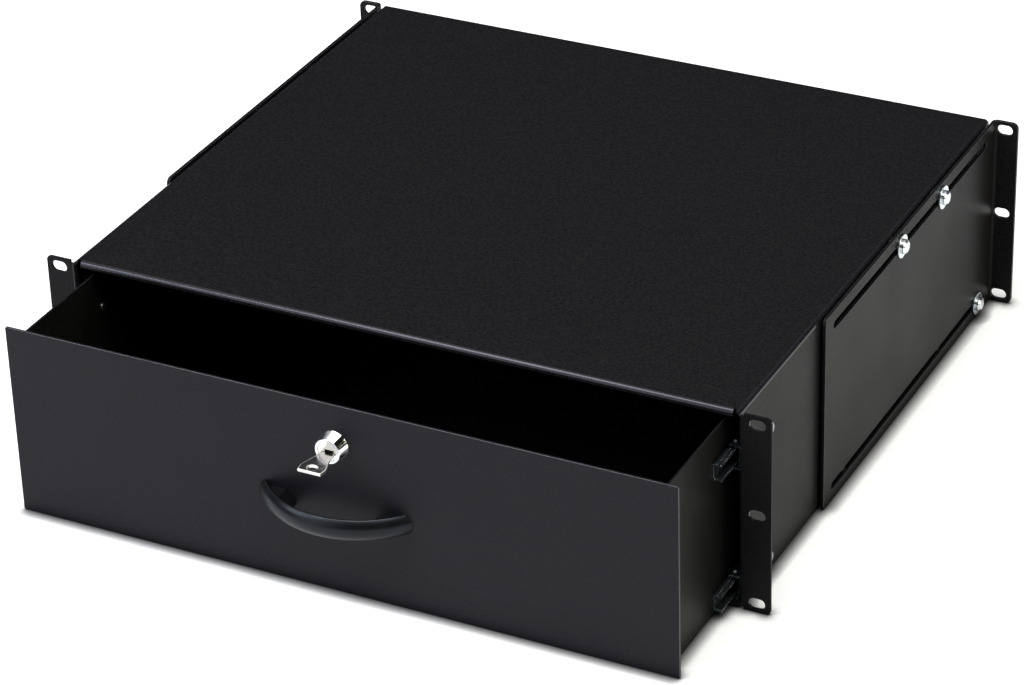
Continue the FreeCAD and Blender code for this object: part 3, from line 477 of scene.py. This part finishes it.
LAMPS = (
    Lamp("top_softbox", (0.05, -0.45, 2.0), 2.2, 0.8, 33.0, WHITE),
    Lamp("right_softbox", (2.2, 0.2, 0.9), 1.2, 1.2, 19.0, (1.0, 0.97, 0.74)),
    Lamp("front_softbox", (-1.2, -2.2, 0.9), 1.4, 1.4, 10.0, (0.93, 0.94, 1.0)),
    Lamp("left_softbox", (-1.3, -0.9, 1.1), 0.6, 0.6, 12.0, (0.82, 0.86, 1.0)),
    Lamp("ridge_softbox", (-0.95, -1.15, 1.85), 0.5, 0.5, 8.0, (0.95, 0.93, 1.0)),
    Lamp("left_strip", (-2.4, 0.3, 0.55), 0.10, 0.8, 1.5, (0.55, 0.70, 1.0)),
)
LAMP_TARGET = Vector((0, 0.15, 0))


def make_lamps():
    """Soft flat lamps, each turned to face the drawer."""
    for lamp in LAMPS:
        light = bpy.data.lights.new(lamp.name, "AREA")
        light.shape = "RECTANGLE"
        light.size = lamp.width
        light.size_y = lamp.height
        light.energy = lamp.watts
        light.color = lamp.tint
        holder = bpy.data.objects.new(lamp.name, light)
        holder.location = lamp.place
        holder.rotation_mode = "QUATERNION"
        holder.rotation_quaternion = (LAMP_TARGET - Vector(lamp.place)).to_track_quat("-Z", "Y")
        bpy.context.scene.collection.objects.link(holder)


# The camera, solved from the rack slots and edges: place above the underside, turn and lens
CAMERA_PLACE = Vector((0.95483, -1.68482, 1.23991))
CAMERA_YAW = math.radians(27.488)
CAMERA_PITCH = math.radians(-29.965)
CAMERA_ROLL = math.radians(-1.844)
CAMERA_LENS = 133.4
CAMERA_SENSOR = 36
CAMERA_REACH = (0.05, 50)


def make_camera():
    """The photograph's view: heading by yaw and pitch, then rolled about the line of sight."""
    data = bpy.data.cameras.new("camera")
    data.sensor_width = CAMERA_SENSOR
    data.sensor_fit = "HORIZONTAL"
    data.lens = CAMERA_LENS
    data.clip_start, data.clip_end = CAMERA_REACH
    camera = bpy.data.objects.new("camera", data)
    ahead = Vector((
        -math.sin(CAMERA_YAW) * math.cos(CAMERA_PITCH),
        math.cos(CAMERA_YAW) * math.cos(CAMERA_PITCH),
        math.sin(CAMERA_PITCH),
    ))
    right = Vector((math.cos(CAMERA_YAW), math.sin(CAMERA_YAW), 0))
    up = right.cross(ahead)
    turned_right = right * math.cos(CAMERA_ROLL) + up * math.sin(CAMERA_ROLL)
    turned_up = up * math.cos(CAMERA_ROLL) - right * math.sin(CAMERA_ROLL)
    turn = Matrix((turned_right, turned_up, -ahead)).transposed()
    camera.rotation_mode = "QUATERNION"
    camera.rotation_quaternion = turn.to_quaternion()
    camera.location = CAMERA_PLACE + Vector((0, 0, UNDERSIDE))
    bpy.context.scene.collection.objects.link(camera)
    bpy.context.scene.camera = camera


class RACKDRAWER_OT_sheets(bpy.types.Operator):
    """Round and coat the folded sheets of the case, drawer and brackets"""

    bl_idname = "rack_drawer.sheets"
    bl_label = "Coated sheets"

    def execute(self, context):
        case = powder_coat("case_coat", shades().case, specular=0.065)
        panel = powder_coat("panel_coat", shades().panel, contrast=0.2)
        tray = powder_coat("tray_coat", shades().tray, specular=0.07)
        # The edges' lighter coat is partly thin coat and partly a painted highlight line along the rounded
        # sheet edges
        edge = powder_coat("edge_coat_and_painted_highlight", shades().edge, roughness=0.28, specular=1.0, bump=0.3)
        bend = powder_coat(
            "bend_coat", shades().case, roughness=0.20, specular=0.5, bump=0.2, sheen=VIOLET_SHEEN
        )
        for node in ("case_shell", "case_bottom", "case_back", "lock_keeper"):
            dress(softened(node, sizes().sheet_edge), case, edge, bend)
        for side in SIDES:
            dress(softened("rear_bracket_" + side, sizes().sheet_edge), case, edge)
            dress(softened("tray_side_" + side, sizes().sheet_edge), tray, edge)
        for node in ("drawer_tray", "tray_back"):
            dress(softened(node, sizes().sheet_edge), tray, edge)
        dress(softened("drawer_panel", sizes().sheet_edge), panel, edge)
        return {"FINISHED"}


# How much of a channel's top layer takes the pale edge material as a painted glint: most of the stop button,
# which stands 0.5 mm high
GLINT_DEPTH = 0.4 * MM


class RACKDRAWER_OT_slides(bpy.types.Operator):
    """Round and plate the slide members and finish their cages and balls"""

    bl_idname = "rack_drawer.slides"
    bl_label = "Ball slides"

    def execute(self, context):
        plate = plated("slide_plate", shades().slide, 0.22, 80.0, metallic=0.7)
        # The rubbed material is a near-white painted highlight along the slide members' rolled edges
        rubbed = plated("slide_painted_highlight", shades().slide_edge, 0.30, 200.0, metallic=0.0)
        strip = plated("cage_strip", shades().steel, 0.3, 120.0)
        polished = plated("ball_steel", shades().chrome, 0.08, 300.0, scratch=0.02)
        for name in SLIDES:
            channel = dress(softened("slide_channel_" + name, sizes().slide_edge), plate, rubbed)
            # Painted glint: the stop buttons on each channel's top take the pale edge material
            paint_top_glint(channel, GLINT_DEPTH)
            dress(softened("slide_runner_" + name, sizes().slide_edge), plate, rubbed)
            dress(softened("ball_cage_" + name, sizes().small_edge / 2), strip)
            dress(frame["nodes"]["balls_" + name], polished)
        return {"FINISHED"}


class RACKDRAWER_OT_fixings(bpy.types.Operator):
    """Finish the screws, washers, spacers and nuts"""

    bl_idname = "rack_drawer.fixings"
    bl_label = "Fixings"

    def execute(self, context):
        zinc = plated("bright_zinc", shades().zinc, 0.24, 200.0)
        dull = plated("dull_zinc", shades().steel, 0.35, 200.0)
        bracket_fixings = ("bracket_screws", "bracket_washers", "bracket_spacers", "bracket_nuts")
        for node in (*bracket_fixings, "handle_screws", "cam_screw"):
            dress(softened(node, sizes().small_edge), zinc)
        for side in SIDES:
            dress(softened("case_slide_screws_" + side, sizes().small_edge), dull)
            dress(softened("tray_slide_screws_" + side, sizes().small_edge), dull)
        return {"FINISHED"}


class RACKDRAWER_OT_lock(bpy.types.Operator):
    """Finish the lock and its key"""

    bl_idname = "rack_drawer.lock"
    bl_label = "Lock and key"

    def execute(self, context):
        chrome = plated("lock_chrome", shades().chrome, 0.07, 150.0, scratch=0.04, lean=0.33)
        polished = plated("plug_chrome", shades().plug, 0.10, 150.0, scratch=0.05)
        steel = plated("lock_steel", shades().zinc, 0.3, 200.0)
        nickel = plated("key_nickel", shades().key, 0.2, 250.0, scratch=0.2)
        rubbed = plated("key_rubbed", shades().key_edge, 0.4, 250.0, metallic=0.5)
        dress(softened("lock_housing", sizes().small_edge), chrome)
        dress(softened("lock_plug", sizes().small_edge), polished)
        for node in ("lock_nut", "lock_cam"):
            dress(softened(node, sizes().small_edge), steel)
        dress(softened("key", sizes().key_edge), nickel, rubbed)
        return {"FINISHED"}


class RACKDRAWER_OT_handle(bpy.types.Operator):
    """Finish the moulded bow handle"""

    bl_idname = "rack_drawer.handle"
    bl_label = "Handle"

    def execute(self, context):
        smooth = moulded_plastic("handle_plastic", shades().handle)
        rim = moulded_plastic("handle_rim", shades().handle, roughness=0.26, specular=0.8)
        dress(softened("handle", sizes().sheet_edge), smooth, rim)
        return {"FINISHED"}


class RACKDRAWER_PT_panel(bpy.types.Panel):
    """The drawer's pieces, each with its button"""

    bl_label = "Rack drawer"
    bl_idname = "RACKDRAWER_PT_panel"
    bl_space_type = "VIEW_3D"
    bl_region_type = "UI"
    bl_category = "Rack drawer"

    def draw(self, context):
        for operator in OPERATORS:
            self.layout.operator(operator.bl_idname)


OPERATORS = (
    RACKDRAWER_OT_stage,
    RACKDRAWER_OT_sheets,
    RACKDRAWER_OT_slides,
    RACKDRAWER_OT_fixings,
    RACKDRAWER_OT_lock,
    RACKDRAWER_OT_handle,
)
CLASSES = (RackDrawerColours, RackDrawerSizes, *OPERATORS, RACKDRAWER_PT_panel)


def register():
    """Make the add-on's classes and settings known."""
    for each in CLASSES:
        bpy.utils.register_class(each)
    bpy.types.Scene.rack_drawer_colours = PointerProperty(type=RackDrawerColours)
    bpy.types.Scene.rack_drawer_sizes = PointerProperty(type=RackDrawerSizes)


def unregister():
    """Take back what register did."""
    del bpy.types.Scene.rack_drawer_sizes
    del bpy.types.Scene.rack_drawer_colours
    for each in reversed(CLASSES):
        bpy.utils.unregister_class(each)


def main():
    """Build every piece in order."""
    register()
    bpy.ops.rack_drawer.stage()
    bpy.ops.rack_drawer.sheets()
    bpy.ops.rack_drawer.slides()
    bpy.ops.rack_drawer.fixings()
    bpy.ops.rack_drawer.lock()
    bpy.ops.rack_drawer.handle()


if __name__ == "__main__":
    main()
